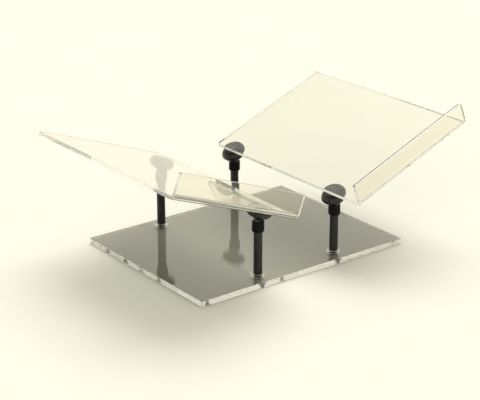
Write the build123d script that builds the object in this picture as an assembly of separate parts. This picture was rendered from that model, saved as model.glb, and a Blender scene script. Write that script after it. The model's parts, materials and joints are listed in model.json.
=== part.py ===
from build123d import *
from math import cos, radians, sin, sqrt
import os

# Adjustable stand for an open album or book, in millimetres.
# Origin: centre of the base plate's underside. +X to the viewer's right, +Y to the back, +Z up.
# Two clear trays, each bent up into a lip along its front edge, tilt on ball heads on four posts.

# base plate
base_width = 279.4
base_depth = 215.9
base_thickness = 6.35
base_corner_radius = 1.5
base_edge_chamfer = 0.4

# posts, placed by the distance of their axes from the middle of the base
post_offset_x = 53.2
post_offset_y = 90.2
post_radius = 9.525 / 2
post_chamfer = 0.4
post_height = {"left": 50.8, "right": 44.45}

# countersunk screw that comes up through the base into each post
screw_radius = 2.5
screw_head_radius = 5.0
screw_head_height = 2.8
screw_reach = 8.0
screw_socket_across_flats = 3.0
screw_socket_depth = 1.8
screw_hole_clearance = 0.25
countersink_clearance = 0.2
thread_clearance = 0.05
post_foot_bore_extra = 1.5

# clear ring round the foot of each post
foot_ring_radius = 7.5
foot_ring_height = 3.0
foot_ring_gap = 0.1
foot_ring_chamfer = 0.4

# lock collar, which stands on the end of the post and turns on the stud
collar_radius = 6.6
collar_height = 12.0
collar_foot_round = 1.6
collar_top_round = 0.6
collar_running_gap = 0.05

# ball stud
ball_radius = 6.5
ball_above_collar = 7.6
neck_radius = 2.0
stud_radius = 2.5
stud_reach = 10.0
post_top_bore_extra = 1.0

# swivel cup, a bowl that holds the ball; heights are from the centre of the ball
cup_ball_gap = 0.05
cup_mouth_level = -4.0
cup_foot_radius = 6.3
cup_belly_level = 2.6
cup_belly_radius = 14.3
cup_top_level = 9.2
cup_top_radius = 9.3
cup_lower_curve = (11.4, -2.0)
cup_upper_curve = (13.0, 6.6)

# pad that bonds the cup to the underside of its tray
pad_radius = 6.0
pad_thickness = 1.0

# trays: a plate and a lip at right angles to it, bent from one sheet
tray_tilt = {"left": 20.5, "right": 22.0}
tray_width = 165.1
tray_depth = 254.0
tray_thickness = 4.0
tray_inner_edge = 6.0
tray_front_face = 144.5
lip_height = 28.0
bend_inner_radius = 3.0
tray_corner_radius = 3.0
lip_corner_radius = 1.5

sides = {"left": -1, "right": 1}
ends = {"front": -1, "back": 1}


def ball_height(side):
    """Height of the ball centres of one side above the ground."""
    return base_thickness + post_height[side] + collar_height + ball_above_collar


def post_place(side, end):
    """Plan position of one post."""
    return sides[side] * post_offset_x, ends[end] * post_offset_y


def tilted(shape, side, y=0):
    """Carry a shape made round the tilting axis to that axis, at the tray's resting angle."""
    turn = Rot(0, -sides[side] * tray_tilt[side], 0)
    return Pos(sides[side] * post_offset_x, y, ball_height(side)) * turn * shape


def base_plate():
    """Flat plate with four countersunk holes that open downwards."""
    outline = RectangleRounded(base_width, base_depth, base_corner_radius)
    plate = extrude(outline, base_thickness)
    rims = plate.faces().filter_by(Axis.Z).edges()
    plate = chamfer(rims, base_edge_chamfer)
    hole_radius = screw_radius + screw_hole_clearance
    mouth_radius = screw_head_radius + countersink_clearance
    sink_height = screw_head_height + countersink_clearance
    for side in sides:
        for end in ends:
            x, y = post_place(side, end)
            plate -= Pos(x, y, base_thickness / 2) * Cylinder(hole_radius, base_thickness)
            plate -= Pos(x, y, sink_height / 2) * Cone(mouth_radius, hole_radius, sink_height)
    return plate


def base_screw(x, y):
    """Countersunk screw, its head flush with the underside of the base."""
    head = Pos(0, 0, screw_head_height / 2) * Cone(screw_head_radius, screw_radius, screw_head_height)
    length = base_thickness + screw_reach
    shank = Pos(0, 0, length / 2) * Cylinder(screw_radius, length)
    socket_radius = screw_socket_across_flats / sqrt(3)
    socket = extrude(RegularPolygon(socket_radius, 6), screw_socket_depth)
    return Pos(x, y, 0) * (head + shank - socket)


def post(x, y, height):
    """Round rod, bored at the foot for the base screw and at the top for the ball stud."""
    rod = Pos(0, 0, height / 2) * Cylinder(post_radius, height)
    rod = chamfer(rod.edges(), post_chamfer)
    foot_depth = screw_reach + post_foot_bore_extra
    top_depth = stud_reach + post_top_bore_extra
    rod -= Pos(0, 0, foot_depth / 2) * Cylinder(screw_radius + thread_clearance, foot_depth)
    rod -= Pos(0, 0, height - top_depth / 2) * Cylinder(stud_radius + thread_clearance, top_depth)
    return Pos(x, y, base_thickness) * rod


def foot_ring(x, y):
    """Clear ring that sits on the base round the foot of a post."""
    ring = Pos(0, 0, foot_ring_height / 2) * Cylinder(foot_ring_radius, foot_ring_height)
    ring = chamfer(ring.edges(), foot_ring_chamfer)
    ring -= Pos(0, 0, foot_ring_height / 2) * Cylinder(post_radius + foot_ring_gap, foot_ring_height)
    return Pos(x, y, base_thickness) * ring


def lock_collar(x, y, height):
    """Turning collar with a well rounded foot, standing on the end of a post."""
    collar = Pos(0, 0, collar_height / 2) * Cylinder(collar_radius, collar_height)
    rims = collar.edges().sort_by(Axis.Z)
    collar = fillet(rims[0], collar_foot_round)
    top_rim = collar.edges().sort_by(Axis.Z)[-1]
    collar = fillet(top_rim, collar_top_round)
    bore = Cylinder(stud_radius + collar_running_gap, collar_height)
    collar -= Pos(0, 0, collar_height / 2) * bore
    return Pos(x, y, base_thickness + height) * collar


def ball_stud(x, y, height):
    """Ball on a slim neck, with a stud that runs down through the collar into the post."""
    ball = Sphere(ball_radius)
    neck = Pos(0, 0, -ball_above_collar / 2) * Cylinder(neck_radius, ball_above_collar)
    stud_length = collar_height + stud_reach
    stud = Pos(0, 0, -ball_above_collar - stud_length / 2) * Cylinder(stud_radius, stud_length)
    return Pos(x, y, height) * (ball + neck + stud)


def swivel_cup():
    """Bowl-shaped head round the ball, with an open mouth for the neck and a flat top."""
    foot = (cup_foot_radius, cup_mouth_level)
    belly = (cup_belly_radius, cup_belly_level)
    rim = (cup_top_radius, cup_top_level)
    profile = [
        Line((0, cup_mouth_level), foot),
        ThreePointArc(foot, cup_lower_curve, belly),
        ThreePointArc(belly, cup_upper_curve, rim),
        Line(rim, (0, cup_top_level)),
        Line((0, cup_top_level), (0, cup_mouth_level)),
    ]
    section = Plane.XZ * make_face(profile)
    return revolve(section, Axis.Z) - Sphere(ball_radius + cup_ball_gap)


def cup_pad():
    """Thin round pad between a cup and its tray."""
    return Pos(0, 0, cup_top_level + pad_thickness / 2) * Cylinder(pad_radius, pad_thickness)


def tray(side):
    """Plate with its front edge bent up into a lip, made level and to the right of the axis."""
    underside = cup_top_level + pad_thickness
    face = underside + tray_thickness
    front = -tray_front_face
    back = front + tray_depth
    lip_back = front + tray_thickness
    lip_top = underside + lip_height
    section = Polyline(
        (front, underside), (back, underside), (back, face), (lip_back, face),
        (lip_back, lip_top), (front, lip_top), close=True)
    sheet = extrude(Plane.YZ * make_face(section), tray_width)
    sheet = Pos(-tray_inner_edge, 0, 0) * sheet
    along = sheet.edges().filter_by(Axis.X)
    bend_outside = along.filter_by_position(Axis.Y, front, front).sort_by(Axis.Z)[0]
    sheet = fillet(bend_outside, bend_inner_radius + tray_thickness)
    along = sheet.edges().filter_by(Axis.X).filter_by_position(Axis.Y, lip_back, lip_back)
    sheet = fillet(along.sort_by(Axis.Z)[0], bend_inner_radius)
    back_corners = sheet.edges().filter_by(Axis.Z).filter_by_position(Axis.Y, back, back)
    sheet = fillet(back_corners, tray_corner_radius)
    lip_corners = sheet.edges().filter_by(Axis.Y).filter_by_position(Axis.Z, lip_top, lip_top)
    sheet = fillet(lip_corners, lip_corner_radius)
    if side == "left":
        sheet = mirror(sheet, Plane.YZ)
    return tilted(sheet, side)


def save(name, shape):
    """Write one sub-part and say how large it is."""
    export_step(shape, f"parts/{name}.step")
    print(name, round(shape.volume, 1))


os.makedirs("parts", exist_ok=True)
save("base_plate", base_plate())
for side in sides:
    for end in ends:
        x, y = post_place(side, end)
        place = f"{side}_{end}"
        save(f"{place}_base_screw", base_screw(x, y))
        save(f"{place}_post", post(x, y, post_height[side]))
        save(f"{place}_foot_ring", foot_ring(x, y))
        save(f"{place}_lock_collar", lock_collar(x, y, post_height[side]))
        save(f"{place}_ball_stud", ball_stud(x, y, ball_height(side)))
        save(f"{place}_swivel_cup", tilted(swivel_cup(), side, y))
        save(f"{place}_cup_pad", tilted(cup_pad(), side, y))
    save(f"{side}_tray", tray(side))

# where the tilting axes and the tray faces lie, for whoever fits this stand to something else
for side in sides:
    tilt = radians(tray_tilt[side])
    face = cup_top_level + pad_thickness + tray_thickness
    reach = tray_width / 2 - tray_inner_edge
    x = sides[side] * (post_offset_x + reach * cos(tilt) - face * sin(tilt))
    z = ball_height(side) + reach * sin(tilt) + face * cos(tilt)
    print(side, "axis height", ball_height(side), "middle of tray face", round(x, 3), round(z, 3))
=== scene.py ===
import json
from math import atan2, cos, pi, radians, sin, sqrt, tan, tau

import bmesh
import bpy
from mathutils import Matrix, Vector


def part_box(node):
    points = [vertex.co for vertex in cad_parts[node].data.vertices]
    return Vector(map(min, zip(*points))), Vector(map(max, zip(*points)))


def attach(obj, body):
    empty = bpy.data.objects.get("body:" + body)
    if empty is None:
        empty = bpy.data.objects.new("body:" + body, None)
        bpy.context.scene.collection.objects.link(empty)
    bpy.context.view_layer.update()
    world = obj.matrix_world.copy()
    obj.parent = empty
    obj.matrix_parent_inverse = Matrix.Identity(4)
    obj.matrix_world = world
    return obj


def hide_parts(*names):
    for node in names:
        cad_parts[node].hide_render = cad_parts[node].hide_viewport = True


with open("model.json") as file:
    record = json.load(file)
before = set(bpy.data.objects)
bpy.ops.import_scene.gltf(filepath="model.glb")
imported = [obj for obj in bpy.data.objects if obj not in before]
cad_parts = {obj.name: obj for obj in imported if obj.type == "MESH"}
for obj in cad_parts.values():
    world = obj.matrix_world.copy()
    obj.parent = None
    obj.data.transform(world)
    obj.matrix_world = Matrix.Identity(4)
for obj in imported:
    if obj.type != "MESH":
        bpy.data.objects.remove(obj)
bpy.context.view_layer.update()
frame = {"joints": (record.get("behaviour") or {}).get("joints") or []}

mm = 0.001
sides = {"left": -1, "right": 1}    # which way each tray reaches along x
ends = ("front", "back")
airGap = 0.04 * mm                  # left between pieces that lie on each other, so light passes cleanly

trayTilt = {}
for joint in frame["joints"]:
    if joint["name"].endswith("_tray_tilt"):
        side = joint["name"].split("_")[0]
        trayTilt[side] = {"pivot": Vector(joint["pos_m"]), "angle": radians(-joint["range_deg"][0])}


def trayPlace(side, y=0.0):
    # the tray's own axes: x outwards, z up through the sheet, origin on the line through its balls
    tilt = trayTilt[side]
    place = Matrix.Translation((tilt["pivot"].x, y, tilt["pivot"].z))
    turn = Matrix.Rotation(-sides[side] * tilt["angle"], 4, "Y")
    return place @ turn @ Matrix.Diagonal((sides[side], 1, 1, 1))


def centreOf(node):
    low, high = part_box(node)
    return (low + high) / 2


def turnsRound(count):
    return [i / count * tau for i in range(count)]


# small helpers for the finishes

def addNode(tree, kind, **settings):
    node = tree.nodes.new(kind)
    for key, value in settings.items():
        setattr(node, key, value)
    return node


def newMaterial(name, look):
    material = bpy.data.materials.new(name)
    material.use_nodes = True
    material.diffuse_color = (*look["colour"], 1)
    tree = material.node_tree
    tree.nodes.clear()
    output = addNode(tree, "ShaderNodeOutputMaterial")
    shader = addNode(tree, "ShaderNodeBsdfPrincipled")
    shader.inputs["Base Color"].default_value = (*look["colour"], 1)
    shader.inputs["Roughness"].default_value = look["roughness"]
    tree.links.new(shader.outputs["BSDF"], output.inputs["Surface"])
    return material, tree, shader


def grain(tree, scale, detail=4.0, stretch=(1, 1, 1), roughness=0.55):
    # noise through the solid, stretched along x, y and z
    where = addNode(tree, "ShaderNodeTexCoord")
    mapping = addNode(tree, "ShaderNodeMapping")
    mapping.inputs["Scale"].default_value = stretch
    noise = addNode(tree, "ShaderNodeTexNoise")
    noise.inputs["Scale"].default_value = scale
    noise.inputs["Detail"].default_value = detail
    noise.inputs["Roughness"].default_value = roughness
    tree.links.new(where.outputs["Object"], mapping.inputs["Vector"])
    tree.links.new(mapping.outputs["Vector"], noise.inputs["Vector"])
    return noise.outputs["Fac"]


def ranged(tree, source, low, high, fromLow=0.35, fromHigh=0.65):
    # a noise's values between fromLow and fromHigh are spread from low to high
    node = addNode(tree, "ShaderNodeMapRange")
    for name, value in (("From Min", fromLow), ("From Max", fromHigh), ("To Min", low), ("To Max", high)):
        node.inputs[name].default_value = value
    tree.links.new(source, node.inputs["Value"])
    return node.outputs["Result"]


def tones(tree, source, dark, light, low=0.35, high=0.65):
    ramp = addNode(tree, "ShaderNodeValToRGB")
    for element, place, colour in zip(ramp.color_ramp.elements, (low, high), (dark, light)):
        element.position = place
        element.color = (*colour, 1)
    tree.links.new(source, ramp.inputs["Fac"])
    return ramp.outputs["Color"]


def added(tree, first, second):
    node = addNode(tree, "ShaderNodeMath", operation="ADD")
    tree.links.new(first, node.inputs[0])
    tree.links.new(second, node.inputs[1])
    return node.outputs["Value"]


def raised(tree, shader, height, distance, strength=1.0):
    bump = addNode(tree, "ShaderNodeBump")
    bump.inputs["Strength"].default_value = strength
    bump.inputs["Distance"].default_value = distance
    tree.links.new(height, bump.inputs["Height"])
    tree.links.new(bump.outputs["Normal"], shader.inputs["Normal"])


def lampsShineThrough(tree, shader, tint):
    # rays to lamps, and light bounced between matt things, pass straight through and keep this much colour
    path = addNode(tree, "ShaderNodeLightPath")
    straight = addNode(tree, "ShaderNodeBsdfTransparent")
    straight.inputs["Color"].default_value = (*tint, 1)
    surface = shader.outputs["BSDF"]
    for ray in ("Is Shadow Ray", "Is Diffuse Ray"):
        mix = addNode(tree, "ShaderNodeMixShader")
        tree.links.new(path.outputs[ray], mix.inputs[0])
        tree.links.new(surface, mix.inputs[1])
        tree.links.new(straight.outputs["BSDF"], mix.inputs[2])
        surface = mix.outputs["Shader"]
    tree.links.new(surface, tree.nodes["Material Output"].inputs["Surface"])


# finishes

sheetLook = {
    "colour": (0.93, 0.912, 0.845),
    # much darker than the sheet's own colour: painted shade, so the sheets cast a deeper shadow on the
    # floor and on what lies under them than clear acrylic does
    "lampTint": (0.53, 0.536, 0.518),
    "ior": 1.49,
    "roughness": 0.008,
    "smudged": 0.05,
    "wiping": {"scale": 22.0, "detail": 5.0, "stretch": (1.0, 3.0, 1.0)},
    "wipedFrom": (0.48, 0.78),
    "scratched": 0.05,            # roughness that the hair scratches add
    "scratches": {"scale": 60.0, "detail": 2.0, "stretch": (0.15, 14.0, 14.0)},
    "scratchedFrom": (0.72, 0.8),
    "wave": 0.05 * mm,
    "waveShare": 0.5,
    "casting": {"scale": 8.0, "detail": 1.0},
}
edgeLook = {
    # pale: where the edge scatters, this colour shows as painted glow
    "colour": (0.985, 0.98, 0.93),
    # as dark as the sheet's, for the same painted shade
    "lampTint": (0.53, 0.536, 0.518),
    "ior": 1.49,
    "clear": 0.86,                # the rest scatters into a pale painted glow, standing in for light piped along inside the sheet to its edge
    "roughness": 0.05,
    "smudged": 0.13,
    "ripple": 0.008 * mm,
    "rippleShare": 0.6,
    "cutting": {"scale": 90.0, "detail": 3.0, "stretch": (3.0, 3.0, 0.4)},
}


def clearSheetFinish(look):
    # cast sheet: nearly optical, with the slow wave of casting, wiping marks and hair scratches
    material, tree, shader = newMaterial("clearSheet", look)
    shader.inputs["IOR"].default_value = look["ior"]
    shader.inputs["Transmission Weight"].default_value = 1.0
    wiping, scratches = grain(tree, **look["wiping"]), grain(tree, **look["scratches"])
    wiped = ranged(tree, wiping, look["roughness"], look["smudged"], *look["wipedFrom"])
    scratched = ranged(tree, scratches, 0.0, look["scratched"], *look["scratchedFrom"])
    tree.links.new(added(tree, wiped, scratched), shader.inputs["Roughness"])
    raised(tree, shader, grain(tree, **look["casting"]), look["wave"], look["waveShare"])
    lampsShineThrough(tree, shader, look["lampTint"])
    return material


def polishedEdgeFinish(look):
    # the sheet's cut edge, buffed, with the faint ripple of the cutter left in it; it looks bright through
    # a pale painted glow that stands in for light piped along inside the sheet
    material, tree, shader = newMaterial("polishedEdge", look)
    shader.inputs["IOR"].default_value = look["ior"]
    shader.inputs["Transmission Weight"].default_value = look["clear"]
    ripple = grain(tree, **look["cutting"])
    tree.links.new(ranged(tree, ripple, look["roughness"], look["smudged"]), shader.inputs["Roughness"])
    raised(tree, shader, ripple, look["ripple"], look["rippleShare"])
    lampsShineThrough(tree, shader, look["lampTint"])
    return material


blackLooks = {
    "satinRod": {"colour": (0.008, 0.008, 0.0075), "worn": (0.018, 0.0178, 0.016), "shine": 0.34,
                 "roughness": 0.28, "dull": 0.42, "rings": 170.0, "lines": 0.012 * mm},
    "collarBlack": {"colour": (0.004, 0.004, 0.0036), "worn": (0.009, 0.0087, 0.0078), "shine": 0.08,
                    "roughness": 0.26, "dull": 0.44, "rings": 120.0, "lines": 0.02 * mm},
    "cupBlack": {"colour": (0.011, 0.011, 0.010), "worn": (0.020, 0.0197, 0.0175), "shine": 0.42,
                 "roughness": 0.13, "dull": 0.26, "rings": 90.0, "lines": 0.01 * mm},
}
blackWear = {
    "toolMarks": {"detail": 2.0, "stretch": (0.06, 0.06, 9.0)},    # close along the axis, long round it
    "rubbing": {"scale": 85.0, "detail": 7.0},
    "paleFrom": (0.45, 0.78),
    "dullFrom": (0.8, 1.25),      # of both noises together
}


def blackFinish(name, look, wear):
    # turned and blackened: fine rings from the tool, and paler rubbed patches
    material, tree, shader = newMaterial(name, look)
    rings = grain(tree, look["rings"], **wear["toolMarks"])
    rubbed = grain(tree, **wear["rubbing"])
    shader.inputs["Specular IOR Level"].default_value = look["shine"]
    colour = tones(tree, rubbed, look["colour"], look["worn"], *wear["paleFrom"])
    tree.links.new(colour, shader.inputs["Base Color"])
    dulled = ranged(tree, added(tree, rings, rubbed), look["roughness"], look["dull"], *wear["dullFrom"])
    tree.links.new(dulled, shader.inputs["Roughness"])
    raised(tree, shader, rings, look["lines"])
    return material


steelLooks = {
    "ballSteel": {"colour": (0.30, 0.30, 0.29), "dark": (0.17, 0.17, 0.165),
                  "roughness": 0.14, "dull": 0.26},
    "screwSteel": {"colour": (0.11, 0.108, 0.102), "dark": (0.05, 0.049, 0.046),
                   "roughness": 0.26, "dull": 0.42},
}
steelSurface = {
    "film": {"scale": 240.0, "detail": 5.0},
    "marks": {"scale": 700.0, "detail": 2.0, "stretch": (1, 1, 5.0)},
    "markDepth": 0.006 * mm,
}


def steelFinish(name, look, surface):
    # darkened steel with a thin uneven film of oil
    material, tree, shader = newMaterial(name, look)
    shader.inputs["Metallic"].default_value = 1.0
    film = grain(tree, **surface["film"])
    tree.links.new(tones(tree, film, look["dark"], look["colour"]), shader.inputs["Base Color"])
    tree.links.new(ranged(tree, film, look["dull"], look["roughness"]), shader.inputs["Roughness"])
    raised(tree, shader, grain(tree, **surface["marks"]), surface["markDepth"])
    return material


plasticLooks = {
    "clearRing": {"colour": (0.88, 0.885, 0.84), "lampTint": (0.80, 0.805, 0.77), "ior": 1.46,
                  "roughness": 0.03, "dull": 0.10},
    "clearPad": {"colour": (0.80, 0.81, 0.77), "lampTint": (0.78, 0.785, 0.75), "ior": 1.45,
                 "roughness": 0.22, "dull": 0.40},
}
plasticCloud = {"grain": {"scale": 260.0, "detail": 4.0}, "depth": 0.01 * mm}


def clearPlasticFinish(name, look, cloudiness):
    # small moulded clear piece: a little cloudy where it was pressed
    material, tree, shader = newMaterial(name, look)
    shader.inputs["IOR"].default_value = look["ior"]
    shader.inputs["Transmission Weight"].default_value = 1.0
    cloud = grain(tree, **cloudiness["grain"])
    tree.links.new(ranged(tree, cloud, look["roughness"], look["dull"]), shader.inputs["Roughness"])
    raised(tree, shader, cloud, cloudiness["depth"])
    lampsShineThrough(tree, shader, look["lampTint"])
    return material


clearSheet = clearSheetFinish(sheetLook)
polishedEdge = polishedEdgeFinish(edgeLook)
blacks = {name: blackFinish(name, look, blackWear) for name, look in blackLooks.items()}
steels = {name: steelFinish(name, look, steelSurface) for name, look in steelLooks.items()}
plastics = {name: clearPlasticFinish(name, look, plasticCloud) for name, look in plasticLooks.items()}
print("finishes made")


# placing finished pieces

def placed(mesh, matrix):
    mesh.transform(matrix)
    if matrix.determinant() < 0:
        mesh.flip_normals()
    return mesh


shading = {
    "sharp": radians(38),    # a wider turn than this stays an edge
    "wayDigits": 3,          # faces that agree this closely in direction
    "placeDigits": 6,        # and this closely in place, in metres, are parts of one flat
}


def shadeTrue(mesh, rule=shading):
    # flats stay flat beside rounded edges: at each corner the widest flat leads, and a sharp turn splits
    bm = bmesh.new()
    bm.from_mesh(mesh)
    bm.normal_update()
    flats = {}
    keys = []
    for face in bm.faces:
        way = [round(part, rule["wayDigits"]) for part in face.normal]
        key = (*way, round(face.normal.dot(face.verts[0].co), rule["placeDigits"]))
        keys.append(key)
        flats[key] = flats.get(key, 0) + face.calc_area()
    limit = cos(rule["sharp"])
    normals = []
    for face in bm.faces:
        for vert in face.verts:
            total = Vector()
            for near in vert.link_faces:
                if near.normal.dot(face.normal) > limit:
                    total += near.normal * flats[keys[near.index]]
            normals.append(total.normalized() if total.length > 0 else face.normal.copy())
    bm.free()
    mesh.normals_split_custom_set(normals)


def addObject(name, data):
    thing = bpy.data.objects.new(name, data)
    bpy.context.scene.collection.objects.link(thing)
    return thing


def takeMesh(maker):
    # the maker's evaluated shape as a plain mesh; the maker itself goes
    depsgraph = bpy.context.evaluated_depsgraph_get()
    mesh = bpy.data.meshes.new_from_object(maker.evaluated_get(depsgraph), depsgraph=depsgraph)
    bpy.data.objects.remove(maker)
    return mesh


def addPiece(name, mesh, body, slot, *nodes):
    piece = addObject(name, mesh)
    mesh.polygons.foreach_set("use_smooth", [True] * len(mesh.polygons))
    shadeTrue(mesh)
    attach(piece, body)
    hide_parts(*nodes)
    return piece


def turnOutwards(bm):
    if bm.calc_volume(signed=True) < 0:
        bmesh.ops.reverse_faces(bm, faces=bm.faces)


def meshFrom(name, build, *materials):
    # build(bm) fills the mesh; faces are then turned outwards
    bm = bmesh.new()
    build(bm)
    turnOutwards(bm)
    mesh = bpy.data.meshes.new(name)
    bm.to_mesh(mesh)
    bm.free()
    for material in materials:
        mesh.materials.append(material)
    return mesh


def ringOf(bm, points):
    return [bm.verts.new(point) for point in points]


def wall(bm, first, second, finish=0):
    # quads between two closed rings of the same count
    count = len(first)
    for i in range(count):
        j = (i + 1) % count
        face = bm.faces.new((first[i], first[j], second[j], second[i]))
        face.material_index = finish


# base plate

plateLook = {
    "cornerRadius": 1.5 * mm,
    "edgeRound": 0.4 * mm,
    "cornerSteps": 8,
    "roundSteps": 4,
    "holeRadius": 2.75 * mm,
    "mouthRadius": 5.2 * mm,
    "mouthDepth": 3.0 * mm,
    "holeSides": 64,
}


def plateOutline(half, inset, look):
    # rounded rectangle, drawn corner by corner
    radius = look["cornerRadius"] - inset
    centre = half - Vector((look["cornerRadius"], look["cornerRadius"]))
    points = []
    for quarter, (sx, sy) in enumerate(((1, 1), (-1, 1), (-1, -1), (1, -1))):
        for step in range(look["cornerSteps"] + 1):
            turn = (quarter + step / look["cornerSteps"]) * pi / 2
            points.append((sx * centre.x + radius * cos(turn), sy * centre.y + radius * sin(turn)))
    return points


def makeBasePlate(look):
    low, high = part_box("base_plate")
    half = Vector(((high.x - low.x) / 2, (high.y - low.y) / 2))
    posts = [centreOf(f"{side}_{end}_post") for side in sides for end in ends]

    def build(bm):
        levels = []    # (inset, height) from the foot of the edge to its top
        for step in range(look["roundSteps"] + 1):
            turn = step / look["roundSteps"] * pi / 2
            levels.append((look["edgeRound"] * (1 - sin(turn)), look["edgeRound"] * (1 - cos(turn))))
        levels += [(inset, high.z - height) for inset, height in reversed(levels)]
        outer = []
        for inset, height in levels:
            outer.append(ringOf(bm, [(x, y, height) for x, y in plateOutline(half, inset, look)]))
        for lower, upper in zip(outer, outer[1:]):
            wall(bm, lower, upper, 1)
        feet, tops = [outer[0]], [outer[-1]]
        hole, mouth = look["holeRadius"], look["mouthRadius"]
        bore = ((mouth, 0), (hole, look["mouthDepth"]), (hole, high.z))
        ways = [(cos(turn), -sin(turn)) for turn in turnsRound(look["holeSides"])]
        for post in posts:
            rings = []
            for radius, height in bore:
                circle = [(post.x + radius * x, post.y + radius * y, height) for x, y in ways]
                rings.append(ringOf(bm, circle))
            for lower, upper in zip(rings, rings[1:]):
                wall(bm, lower, upper)
            feet.append(rings[0])
            tops.append(rings[-1])
        for loops, facing in ((feet, -1), (tops, 1)):
            edges = []
            for loop in loops:
                edges += [bm.edges.get((loop[i - 1], loop[i])) for i in range(len(loop))]
            filled = bmesh.ops.triangle_fill(bm, edges=edges, use_beauty=True, use_dissolve=False)
            for face in filled["geom"]:
                if isinstance(face, bmesh.types.BMFace) and face.normal.z * facing < 0:
                    face.normal_flip()

    mesh = meshFrom("basePlateSheet", build, clearSheet, polishedEdge)
    addPiece("basePlateSheet", mesh, "stand", "clear_acrylic", "base_plate")


makeBasePlate(plateLook)
print("base plate made")


# trays: one flat sheet each, bent up along the front into a lip

trayLook = {
    "width": 165.1 * mm,
    "innerReach": 6.0 * mm,       # how far the sheet runs past its balls, towards the middle
    "thickness": 4.0 * mm,
    "underside": 10.2 * mm,       # above the ball's centre, square to the sheet
    "lipHeight": 28.0 * mm,
    "bendRadius": 3.0 * mm,       # inside the bend
    "bendSteps": 14,
    "backCorner": 3.0 * mm,
    "lipCorner": 1.5 * mm,
    "cornerSteps": 7,
    "edgeRound": 0.35 * mm,
    "edgeSteps": 3,
    "edgeTurn": radians(50),      # only edges that turn more than this are eased
}


def cornerStations(radius, steps):
    # places along the sheet near an end, each with how far the corner's curve cuts in there
    turns = [step / steps * pi / 2 for step in range(steps + 1)]
    return [(radius * (1 - cos(turn)), radius * (1 - sin(turn))) for turn in turns]


def makeTray(side, look):
    low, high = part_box(f"{side}_tray")
    thick = look["thickness"]
    foot = look["underside"]
    innerBend, outerBend = look["bendRadius"], look["bendRadius"] + thick
    bendY, bendZ = low.y + outerBend, foot + outerBend
    inner, outer = -look["innerReach"], look["width"] - look["innerReach"]

    def build(bm):
        stations = []    # (cut at the corners, point on the outside, point on the inside)
        for along, cut in cornerStations(look["backCorner"], look["cornerSteps"]):
            stations.append((cut, (high.y - along, foot), (high.y - along, foot + thick)))
        for step in range(look["bendSteps"] + 1):
            turn = step / look["bendSteps"] * pi / 2
            away, up = sin(turn), cos(turn)
            stations.append((0, (bendY - outerBend * away, bendZ - outerBend * up),
                             (bendY - innerBend * away, bendZ - innerBend * up)))
        lipTop = foot + look["lipHeight"]
        for along, cut in reversed(cornerStations(look["lipCorner"], look["cornerSteps"])):
            stations.append((cut, (low.y, lipTop - along), (low.y + thick, lipTop - along)))
        rings = []
        for cut, (outY, outZ), (inY, inZ) in stations:
            rings.append(ringOf(bm, [(inner + cut, outY, outZ), (outer - cut, outY, outZ),
                                     (outer - cut, inY, inZ), (inner + cut, inY, inZ)]))
        for first, second in zip(rings, rings[1:]):
            for i in range(4):
                j = (i + 1) % 4
                face = bm.faces.new((first[i], first[j], second[j], second[i]))
                face.material_index = i % 2    # faces, then the two edges
        for ring in (rings[0], rings[-1]):
            cap = bm.faces.new(ring)
            cap.material_index = 1
        bmesh.ops.recalc_face_normals(bm, faces=bm.faces)

    mesh = placed(meshFrom(f"{side}TraySheet", build, clearSheet, polishedEdge), trayPlace(side))
    maker = addObject("trayMaker", mesh)
    bevel = maker.modifiers.new("easedEdges", "BEVEL")
    bevel.width = look["edgeRound"]
    bevel.segments = look["edgeSteps"]
    bevel.limit_method = "ANGLE"
    bevel.angle_limit = look["edgeTurn"]
    bevel.material = 1
    addPiece(f"{side}TraySheet", takeMesh(maker), f"{side}_tray", "clear_acrylic", f"{side}_tray")


for side in sides:
    makeTray(side, trayLook)
print("trays made")


# turned parts: a Geometry Nodes tree spins a drawn outline and presses grip ridges into a band of it

def newTree(name, sockets):
    tree = bpy.data.node_groups.new(name, "GeometryNodeTree")
    for label, kind in sockets:
        tree.interface.new_socket(label, in_out="INPUT", socket_type=f"NodeSocket{kind}")
    tree.interface.new_socket("Made", in_out="OUTPUT", socket_type="NodeSocketGeometry")
    return tree, addNode(tree, "NodeGroupInput").outputs


def endTree(tree, made, finish):
    # instances become real, and all of it takes the finish
    real = addNode(tree, "GeometryNodeRealizeInstances")
    tree.links.new(made, real.inputs[0])
    finished = addNode(tree, "GeometryNodeSetMaterial")
    tree.links.new(real.outputs[0], finished.inputs["Geometry"])
    tree.links.new(finish, finished.inputs["Material"])
    result = addNode(tree, "NodeGroupOutput")
    tree.links.new(finished.outputs[0], result.inputs["Made"])


def runTree(tree, source, inputs):
    # sets the tree's named inputs, and gives its result as a plain mesh
    maker = addObject("maker", source)
    modifier = maker.modifiers.new("tree", "NODES")
    modifier.node_group = tree
    for socket in tree.interface.items_tree:
        if socket.in_out == "INPUT" and socket.name in inputs:
            modifier[socket.identifier] = inputs[socket.name]
    return takeMesh(maker)


def mathsNode(tree, operation, first, second=0, kind="ShaderNodeMath"):
    node = addNode(tree, kind, operation=operation)
    for socket, value in zip(node.inputs, (first, second)):
        if isinstance(value, (int, float)):
            socket.default_value = value
        else:
            tree.links.new(value, socket)
    return node.outputs[0]


def wholeNode(tree, operation, first, second):
    return mathsNode(tree, operation, first, second, "FunctionNodeIntegerMath")


turnedRule = {
    "joinWithin": 0.001 * mm,    # closes the seam and the points on the axis
    "leastEdge": 0.0001 * mm,    # edges shorter than this are dissolved
}


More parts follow.
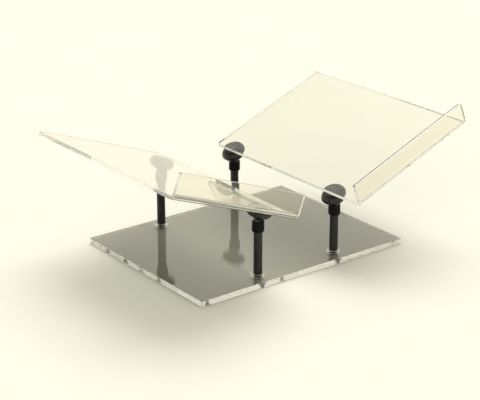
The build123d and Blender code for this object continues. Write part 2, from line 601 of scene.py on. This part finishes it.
def turnedTree(rule):
    tree, given = newTree("turnedPart", (
        ("Outline", "Geometry"), ("Sides", "Int"), ("Ridges", "Int"), ("Ridge Depth", "Float"),
        ("Ridge Reach", "Float"), ("Band Foot", "Float"), ("Band Top", "Float"), ("Finish", "Material")))
    link = tree.links.new

    size = addNode(tree, "GeometryNodeAttributeDomainSize")
    link(given["Outline"], size.inputs[0])
    around = wholeNode(tree, "ADD", given["Sides"], 1)
    grid = addNode(tree, "GeometryNodeMeshGrid")
    link(size.outputs["Point Count"], grid.inputs["Vertices X"])
    link(around, grid.inputs["Vertices Y"])

    index = addNode(tree, "GeometryNodeInputIndex").outputs[0]
    sample = addNode(tree, "GeometryNodeSampleIndex", data_type="FLOAT_VECTOR", domain="POINT")
    link(given["Outline"], sample.inputs["Geometry"])
    link(addNode(tree, "GeometryNodeInputPosition").outputs[0], sample.inputs["Value"])
    link(wholeNode(tree, "DIVIDE_FLOOR", index, around), sample.inputs["Index"])
    drawn = addNode(tree, "ShaderNodeSeparateXYZ")
    link(sample.outputs[0], drawn.inputs[0])
    radius, height = drawn.outputs["X"], drawn.outputs["Z"]
    step = mathsNode(tree, "DIVIDE", wholeNode(tree, "MODULO", index, around), given["Sides"])
    turn = mathsNode(tree, "MULTIPLY", step, tau)

    # ridges press in only on the outside, and only between the band's foot and top
    wave = mathsNode(tree, "COSINE", mathsNode(tree, "MULTIPLY", turn, given["Ridges"]))
    press = mathsNode(tree, "MULTIPLY", mathsNode(tree, "SUBTRACT", 1.0, wave), given["Ridge Depth"])
    within = mathsNode(tree, "MULTIPLY", mathsNode(tree, "GREATER_THAN", height, given["Band Foot"]),
                       mathsNode(tree, "LESS_THAN", height, given["Band Top"]))
    outer = mathsNode(tree, "GREATER_THAN", radius, given["Ridge Reach"])
    gripped = mathsNode(tree, "MULTIPLY", within, outer)
    pressed = mathsNode(tree, "SUBTRACT", radius, mathsNode(tree, "MULTIPLY", press, gripped))

    place = addNode(tree, "ShaderNodeCombineXYZ")
    link(mathsNode(tree, "MULTIPLY", pressed, mathsNode(tree, "COSINE", turn)), place.inputs["X"])
    link(mathsNode(tree, "MULTIPLY", pressed, mathsNode(tree, "SINE", turn)), place.inputs["Y"])
    link(height, place.inputs["Z"])
    spun = addNode(tree, "GeometryNodeSetPosition")
    link(grid.outputs["Mesh"], spun.inputs["Geometry"])
    link(place.outputs[0], spun.inputs["Position"])
    closed = addNode(tree, "GeometryNodeMergeByDistance")
    closed.inputs["Distance"].default_value = rule["joinWithin"]
    link(spun.outputs[0], closed.inputs["Geometry"])
    endTree(tree, closed.outputs[0], given["Finish"])
    return tree


turnedPart = turnedTree(turnedRule)


def turned(outline, finish, around, grip=None):
    # outline: (radius, height) all the way round the part's half section
    source = bpy.data.meshes.new("outline")
    joins = [(i, i + 1) for i in range(len(outline) - 1)]
    source.from_pydata([(radius, 0, height) for radius, height in outline], joins, [])
    inputs = {"Sides": around, "Finish": finish, "Ridges": 0, "Ridge Depth": 0.0}
    mesh = runTree(turnedPart, source, inputs | (grip or {}))
    bm = bmesh.new()
    bm.from_mesh(mesh)
    bmesh.ops.dissolve_degenerate(bm, dist=turnedRule["leastEdge"], edges=bm.edges)
    turnOutwards(bm)
    bm.to_mesh(mesh)
    bm.free()
    return mesh


def standing(mesh, node):
    # set upright over the node's middle, with height 0 at its foot
    low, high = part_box(node)
    centre = (low + high) / 2
    mesh.transform(Matrix.Translation((centre.x, centre.y, low.z)))
    return mesh


def radiusAndHeight(node):
    low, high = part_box(node)
    return (high.x - low.x) / 2, high.z - low.z


def eased(corners, radius, steps=4, closed=True):
    # an outline with each corner rounded; a corner on the axis stays as it is
    points = []
    count = len(corners)
    for i, corner in enumerate(corners):
        here = Vector(corner[:2])
        size = corner[2] if len(corner) > 2 else radius
        atEnd = not closed and i in (0, count - 1)
        if atEnd or size == 0 or here.x == 0:
            points.append(tuple(here))
            continue
        before = (Vector(corners[i - 1][:2]) - here).normalized()
        after = (Vector(corners[(i + 1) % count][:2]) - here).normalized()
        half = before.angle(after) / 2
        reach = size / tan(half)
        centre = here + (before + after).normalized() * size / sin(half)
        start, stop = here + before * reach - centre, here + after * reach - centre
        first = atan2(start.y, start.x)
        sweep = (atan2(stop.y, stop.x) - first + pi) % tau - pi
        for step in range(steps + 1):
            turn = first + sweep * step / steps
            points.append((centre.x + size * cos(turn), centre.y + size * sin(turn)))
    if closed:
        points.append(points[0])
    return points


def arcThrough(start, via, stop, steps):
    # points after start on the round path through three points
    (ax, ay), (bx, by), (cx, cy) = start, via, stop
    d = 2 * (ax * (by - cy) + bx * (cy - ay) + cx * (ay - by))
    a2, b2, c2 = ax * ax + ay * ay, bx * bx + by * by, cx * cx + cy * cy
    ux = (a2 * (by - cy) + b2 * (cy - ay) + c2 * (ay - by)) / d
    uy = (a2 * (cx - bx) + b2 * (ax - cx) + c2 * (bx - ax)) / d
    radius = sqrt((ax - ux) ** 2 + (ay - uy) ** 2)
    first = atan2(ay - uy, ax - ux)
    sweep = (atan2(cy - uy, cx - ux) - first + pi) % tau - pi
    turns = [first + sweep * (step + 1) / steps for step in range(steps)]
    return [(ux + radius * cos(turn), uy + radius * sin(turn)) for turn in turns]


# posts

postLook = {
    "endRound": 0.4 * mm,
    "boreRound": 0.1 * mm,
    "boreRadius": 2.52 * mm,
    "footBore": 8.1 * mm,
    "topBore": 10.1 * mm,
    "sides": 96,
}


def makePost(name, look):
    node = f"{name}_post"
    radius, top = radiusAndHeight(node)
    bore, mouth = look["boreRadius"], look["boreRound"]
    corners = [(0, look["footBore"]), (bore, look["footBore"], 0), (bore, airGap, mouth),
               (radius, airGap), (radius, top), (bore, top, mouth),
               (bore, top - look["topBore"], 0), (0, top - look["topBore"])]
    mesh = turned(eased(corners, look["endRound"], closed=False), blacks["satinRod"], look["sides"])
    addPiece(f"{name}Post", standing(mesh, node), "stand", "black_rod", node)


# lock collars: a gripped band between a plain foot and a plain head

collarLook = {
    "footRound": 1.6 * mm,
    "topRound": 0.6 * mm,
    "grooveHeight": 8.0 * mm,     # a turned groove under the head
    "grooveWidth": 0.7 * mm,
    "grooveDepth": 0.45 * mm,
    "grooveMouth": 0.12 * mm,     # how round the groove's edges are
    "grooveRoot": 0.1 * mm,
    "bandFoot": 2.2 * mm,
    "bandTop": 7.6 * mm,
    "bandPlain": 0.05 * mm,       # still plain this far outside the band
    "bandFull": 0.25 * mm,        # ridges at full depth this far inside it
    "ridges": 30,
    "ridgeDepth": 0.14 * mm,      # half the height of a ridge
    "boreRadius": 2.55 * mm,
    "boreRound": 0.1 * mm,
    "sides": 240,
}


def makeCollar(name, look):
    node = f"{name}_lock_collar"
    radius, top = radiusAndHeight(node)
    bore, inGroove = look["boreRadius"], radius - look["grooveDepth"]
    groove, grooveTop = look["grooveHeight"], look["grooveHeight"] + look["grooveWidth"]
    bandFoot, bandTop = look["bandFoot"], look["bandTop"]
    plain, full = look["bandPlain"], look["bandFull"]
    corners = [(bore, airGap, look["boreRound"]), (radius, airGap, look["footRound"]),
               (radius, bandFoot - plain, 0), (radius, bandFoot + full, 0),
               (radius, bandTop - full, 0), (radius, bandTop + plain, 0),
               (radius, groove, look["grooveMouth"]), (inGroove, groove, look["grooveRoot"]),
               (inGroove, grooveTop, look["grooveRoot"]), (radius, grooveTop, look["grooveMouth"]),
               (radius, top, look["topRound"]), (bore, top, look["boreRound"])]
    grip = {"Ridges": look["ridges"], "Ridge Depth": look["ridgeDepth"], "Ridge Reach": inGroove,
            "Band Foot": bandFoot, "Band Top": bandTop}
    mesh = turned(eased(corners, 0), blacks["collarBlack"], look["sides"], grip)
    addPiece(f"{name}Collar", standing(mesh, node), f"{name}_collar", "black_collar", node)


# ball studs

studLook = {
    "studRadius": 2.5 * mm,
    "footRound": 0.3 * mm,
    "neckRadius": 2.0 * mm,
    "neckLength": 1.0 * mm,
    "neckRound": 0.2 * mm,
    "ballSteps": 40,
    "sides": 96,
}


def makeBallStud(name, look):
    node = f"{name}_ball_stud"
    radius, height = radiusAndHeight(node)
    stud, neck, steps = look["studRadius"], look["neckRadius"], look["ballSteps"]
    ball = height - radius
    neckTop = ball - sqrt(radius ** 2 - neck ** 2)
    neckFoot = neckTop - look["neckLength"]
    corners = [(0, 0), (stud, 0, look["footRound"]), (stud, neckFoot - (stud - neck), look["neckRound"]),
               (neck, neckFoot, look["neckRound"]), (neck, neckTop)]
    outline = eased(corners, 0, closed=False)
    start = atan2(neckTop - ball, neck)
    for step in range(1, steps):
        turn = start + (pi / 2 - start) * step / steps
        outline.append((radius * cos(turn), ball + radius * sin(turn)))
    outline.append((0, ball + radius))
    mesh = turned(outline, steels["ballSteel"], look["sides"])
    addPiece(f"{name}BallStud", standing(mesh, node), "stand", "steel_ball", node)


# swivel cups: a bowl that grips the ball, flat on top where the tray is bonded to it

cupLook = {
    "foot": (6.3 * mm, -4.0 * mm),        # radius and height above the ball's centre
    "swell": (11.4 * mm, -2.0 * mm),
    "belly": (14.3 * mm, 2.6 * mm),
    "shoulder": (13.0 * mm, 6.6 * mm),
    "rim": (9.3 * mm, 9.2 * mm),
    "rimRound": 0.35 * mm,
    "rimCurve": ((0.15, 0.3), (0.5, 0.06), (1, 0)),    # in and down, as shares of rimRound
    "seamDepth": 0.22 * mm,               # the line where its two mouldings meet
    "seamWidth": 0.35 * mm,
    "seamFloor": (0.35, 0.65),            # flat between these shares of the width
    "cavityRadius": 6.55 * mm,
    "arcSteps": 20,
    "sides": 128,
}


def makeCup(side, end, look):
    name = f"{side}_{end}"
    steps = look["arcSteps"]
    foot, belly, rim = look["foot"], look["belly"], look["rim"]
    lower = [foot] + arcThrough(foot, look["swell"], belly, steps)
    seamWidth, seamRadius = look["seamWidth"], belly[0] - look["seamDepth"]
    seam = [(seamRadius, belly[1] + seamWidth * share) for share in look["seamFloor"]]
    upper = arcThrough(belly, look["shoulder"], rim, steps)[:-1]
    upper = [point for point in upper if point[1] > belly[1] + seamWidth]
    size = look["rimRound"]
    crown = [(rim[0] - size * inwards, rim[1] - size * down) for inwards, down in look["rimCurve"]]
    crown.append((0, rim[1]))
    cavity = look["cavityRadius"]
    mouth = -atan2(-foot[1], sqrt(cavity ** 2 - foot[1] ** 2))
    inside = []
    for step in range(steps + 1):
        turn = pi / 2 + (mouth - pi / 2) * step / steps
        inside.append((cavity * cos(turn) if step else 0, cavity * sin(turn)))
    outline = inside + lower + seam + upper + crown
    mesh = turned(outline, blacks["cupBlack"], look["sides"])
    placed(mesh, trayPlace(side, centreOf(f"{name}_ball_stud").y))
    addPiece(f"{name}Cup", mesh, f"{side}_tray", "black_cup", f"{name}_swivel_cup")


# clear pads that bond each cup to its tray

padLook = {
    "radius": 6.0 * mm,
    "foot": 9.2 * mm,             # above the ball's centre
    "top": 10.2 * mm,
    "edgeRound": 0.25 * mm,
    "sides": 96,
}


def makePad(side, end, look):
    name = f"{side}_{end}"
    foot, top = look["foot"] + airGap, look["top"] - airGap
    corners = [(0, foot), (look["radius"], foot), (look["radius"], top), (0, top)]
    mesh = turned(eased(corners, look["edgeRound"], closed=False), plastics["clearPad"], look["sides"])
    placed(mesh, trayPlace(side, centreOf(f"{name}_ball_stud").y))
    addPiece(f"{name}Pad", mesh, f"{side}_tray", "clear_pad", f"{name}_cup_pad")


for side in sides:
    for end in ends:
        makePost(f"{side}_{end}", postLook)
        makeCollar(f"{side}_{end}", collarLook)
        makeBallStud(f"{side}_{end}", studLook)
        makeCup(side, end, cupLook)
        makePad(side, end, padLook)
print("posts, collars, balls, cups and pads turned")


# what is the same at every post is set there by one tree

def perPostTree():
    tree, given = newTree("onePerPost", (
        ("Posts", "Geometry"), ("Part", "Object"), ("Most Turn", "Float"), ("Seed", "Int"),
        ("Finish", "Material")))
    link = tree.links.new
    part = addNode(tree, "GeometryNodeObjectInfo")
    link(given["Part"], part.inputs["Object"])
    turn = addNode(tree, "FunctionNodeRandomValue", data_type="FLOAT")
    turn.inputs["Min"].default_value = 0.0
    link(given["Most Turn"], turn.inputs["Max"])
    link(given["Seed"], turn.inputs["Seed"])
    spin = addNode(tree, "ShaderNodeCombineXYZ")
    link(turn.outputs["Value"], spin.inputs["Z"])
    put = addNode(tree, "GeometryNodeInstanceOnPoints")
    link(given["Posts"], put.inputs["Points"])
    link(part.outputs["Geometry"], put.inputs["Instance"])
    link(spin.outputs[0], put.inputs["Rotation"])
    endTree(tree, put.outputs[0], given["Finish"])
    return tree


onePerPost = perPostTree()


def setUnderPosts(name, mesh, inputs, slot, nodeEnding, height):
    part = addObject("part", mesh)
    posts = [f"{side}_{end}" for side in sides for end in ends]
    centres = [centreOf(f"{post}_post") for post in posts]
    points = bpy.data.meshes.new("posts")
    points.from_pydata([(centre.x, centre.y, height) for centre in centres], [], [])
    made = runTree(onePerPost, points, {"Part": part} | inputs)
    bpy.data.objects.remove(part)
    addPiece(name, made, "stand", slot, *[f"{post}{nodeEnding}" for post in posts])


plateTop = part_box("base_plate")[1].z
ringLook = {
    "radius": 7.5 * mm,
    "height": 3.0 * mm,
    "boreRadius": 4.8625 * mm,
    "edgeRound": 0.4 * mm,
    "sides": 96,
}


def makeFootRings(look):
    bore, radius, height = look["boreRadius"], look["radius"], look["height"]
    corners = [(bore, airGap), (radius, airGap), (radius, height), (bore, height)]
    mesh = turned(eased(corners, look["edgeRound"]), plastics["clearRing"], look["sides"])
    inputs = {"Most Turn": 0.0, "Finish": plastics["clearRing"]}
    setUnderPosts("footRings", mesh, inputs, "clear_acrylic", "_foot_ring", plateTop)


screwLook = {
    "headRadius": 5.0 * mm,
    "headHeight": 2.8 * mm,
    "headFlat": 0.3 * mm,          # the head's side is straight up to here
    "headRound": (0.2 * mm, 0.1 * mm),    # in and up
    "neckRound": 0.1 * mm,
    "shankRadius": 2.5 * mm,
    "reach": 8.0 * mm,             # above the plate
    "pointCut": (0.3 * mm, 0.6 * mm),    # in and down
    "socketAcross": 3.0 * mm,
    "socketDepth": 1.8 * mm,
    "socketMouth": 1.1,            # how much wider it opens
    "socketLead": 0.15 * mm,
    "sides": 72,
    "mostTurn": 1.05,              # each was driven home to its own angle
    "seed": 7,
}


def makeBaseScrews(look):
    # a flat head let into the plate from below, with a six-sided socket for the key
    across = look["socketAcross"] / 2
    head, shank, neck = look["headRadius"], look["shankRadius"], look["neckRound"]
    top, tip = look["headHeight"], plateTop + look["reach"]
    (headIn, headUp), (tipIn, tipDown) = look["headRound"], look["pointCut"]
    turns = turnsRound(look["sides"])

    def circle(radius):
        return [radius] * look["sides"]

    def hexagon(scale=1.0):
        sixth = [(turn + pi / 6) % (pi / 3) - pi / 6 for turn in turns]
        return [across * scale / cos(turn) for turn in sixth]

    def build(bm):
        levels = [
            (hexagon(), look["socketDepth"]), (hexagon(), look["socketLead"]),
            (hexagon(look["socketMouth"]), 0), (circle(head - headIn), 0), (circle(head), headUp),
            (circle(head), look["headFlat"]), (circle(shank + neck), top - neck), (circle(shank), top),
            (circle(shank), tip - tipDown), (circle(shank - tipIn), tip),
        ]
        rings = []
        for radii, height in levels:
            ring = [(radius * cos(turn), radius * sin(turn), height) for radius, turn in zip(radii, turns)]
            rings.append(ringOf(bm, ring))
        for lower, upper in zip(rings, rings[1:]):
            wall(bm, lower, upper)
        bm.faces.new(rings[0])
        bm.faces.new(rings[-1])
        bmesh.ops.recalc_face_normals(bm, faces=bm.faces)

    mesh = meshFrom("baseScrew", build, steels["screwSteel"])
    inputs = {"Most Turn": look["mostTurn"], "Seed": look["seed"], "Finish": steels["screwSteel"]}
    setUnderPosts("baseScrews", mesh, inputs, "steel_screw", "_base_screw", 0.0)


makeFootRings(ringLook)
makeBaseScrews(screwLook)
print("foot rings and base screws set under the posts")


# stage, light and camera

floorLook = {
    "size": 14.0,
    "drop": 0.15 * mm,
    "colour": (0.86, 0.842, 0.748),
    "patches": {"scale": 9.0, "detail": 3.0},
    "patchTone": 0.985,
    "roughness": 0.75,
    "shine": 0.1,
}


def makeFloor(look):
    half = look["size"] / 2
    mesh = bpy.data.meshes.new("floor")
    corners = [(-half, -half), (half, -half), (half, half), (-half, half)]
    mesh.from_pydata([(x, y, -look["drop"]) for x, y in corners], [], [(0, 1, 2, 3)])
    floor = addObject("floor", mesh)
    material, tree, shader = newMaterial("paleFloor", look)
    darker = tuple(part * look["patchTone"] for part in look["colour"])
    colour = tones(tree, grain(tree, **look["patches"]), darker, look["colour"])
    tree.links.new(colour, shader.inputs["Base Color"])
    shader.inputs["Specular IOR Level"].default_value = look["shine"]
    mesh.materials.append(material)


lampLooks = {
    # wide and soft, high behind the right-hand tray
    "softLamp": {"turn": 128.0, "height": 62.0, "spread": 44.0,
                 "strength": 1.66, "colour": (1.0, 0.995, 0.965)},
    # broad and low, from the front left, for the cut edges
    "edgeLamp": {"turn": -52.0, "height": 14.0, "spread": 60.0,
                 "strength": 1.5, "colour": (1.0, 0.985, 0.95)},
}
roomLook = {
    "horizon": (1.0, 0.985, 0.86),
    "wall": (0.34, 0.33, 0.29),
    "above": (0.15, 0.147, 0.136),
    "paleTo": 0.30,               # how high the sweep behind the floor stays pale, as the sine of the angle
    "wallAt": 0.55,               # where it has faded into the wall
    "aboveAt": 0.8,
    "glow": (1.5, 1.48, 1.40),    # soft patch of ceiling that the wide lamp lights
    "glowReach": 0.72,            # cosine of how far it spreads
}
cameraLook = {
    "turn": 37.54,
    "down": 21.06,
    "distance": 1.6522,
    "aim": (-0.0060, 0.0024, 0.0532),
    "lens": 110.59,
    "sensor": 36,
}
lightBounces = 28                 # light runs a long way inside a clear sheet


def lampWay(look):
    turn, height = radians(look["turn"]), radians(look["height"])
    return Vector((sin(turn) * cos(height), -cos(turn) * cos(height), sin(height)))


def makeLamp(name, look):
    data = bpy.data.lights.new(name, "SUN")
    data.energy = look["strength"]
    data.angle = radians(look["spread"])
    data.color = look["colour"]
    lamp = addObject(name, data)
    lamp.rotation_euler = lampWay(look).to_track_quat("Z", "Y").to_euler()
    lamp.visible_glossy = False    # polished sheets mirror the room's soft glow, not the lamp's hard disc
    lamp.visible_transmission = False


def makeRoom(look, glowWay):
    # pale near the floor and quieter higher up, so the clear sheets have something to show against
    world = bpy.data.worlds.new("studio")
    world.use_nodes = True
    tree = world.node_tree
    where = addNode(tree, "ShaderNodeTexCoord")
    split = addNode(tree, "ShaderNodeSeparateXYZ")
    tree.links.new(where.outputs["Generated"], split.inputs[0])
    ramp = addNode(tree, "ShaderNodeValToRGB")
    ramp.color_ramp.interpolation = "EASE"
    ramp.color_ramp.elements.new(look["wallAt"])    # between the two it starts with
    stops = (("paleTo", "horizon"), ("wallAt", "wall"), ("aboveAt", "above"))
    for element, (place, colour) in zip(ramp.color_ramp.elements, stops):
        element.position = look[place]
        element.color = (*look[colour], 1)
    tree.links.new(split.outputs["Z"], ramp.inputs["Fac"])
    towards = addNode(tree, "ShaderNodeVectorMath", operation="DOT_PRODUCT")
    towards.inputs[1].default_value = glowWay
    tree.links.new(where.outputs["Generated"], towards.inputs[0])
    share = addNode(tree, "ShaderNodeMapRange", interpolation_type="SMOOTHSTEP")
    share.inputs["From Min"].default_value = look["glowReach"]
    tree.links.new(towards.outputs["Value"], share.inputs["Value"])
    mix = addNode(tree, "ShaderNodeMix", data_type="RGBA")
    mix.inputs["B"].default_value = (*look["glow"], 1)
    tree.links.new(share.outputs["Result"], mix.inputs["Factor"])
    tree.links.new(ramp.outputs["Color"], mix.inputs["A"])
    tree.links.new(mix.outputs["Result"], tree.nodes["Background"].inputs["Color"])
    bpy.context.scene.world = world


def makeCamera(look):
    data = bpy.data.cameras.new("camera")
    data.lens = look["lens"]
    data.sensor_width = look["sensor"]
    camera = addObject("camera", data)
    turn, down = radians(look["turn"]), radians(look["down"])
    ahead = Vector((sin(turn) * cos(down), cos(turn) * cos(down), -sin(down)))
    camera.location = Vector(look["aim"]) - look["distance"] * ahead
    camera.rotation_euler = ahead.to_track_quat("-Z", "Y").to_euler()
    bpy.context.scene.camera = camera


makeFloor(floorLook)
for name, look in lampLooks.items():
    makeLamp(name, look)
makeRoom(roomLook, lampWay(lampLooks["softLamp"]))
makeCamera(cameraLook)
scene = bpy.context.scene
scene.view_settings.view_transform = "Standard"
for bounces in ("max_bounces", "glossy_bounces", "transmission_bounces", "transparent_max_bounces"):
    setattr(scene.cycles, bounces, lightBounces)
print("stage, light and camera made")
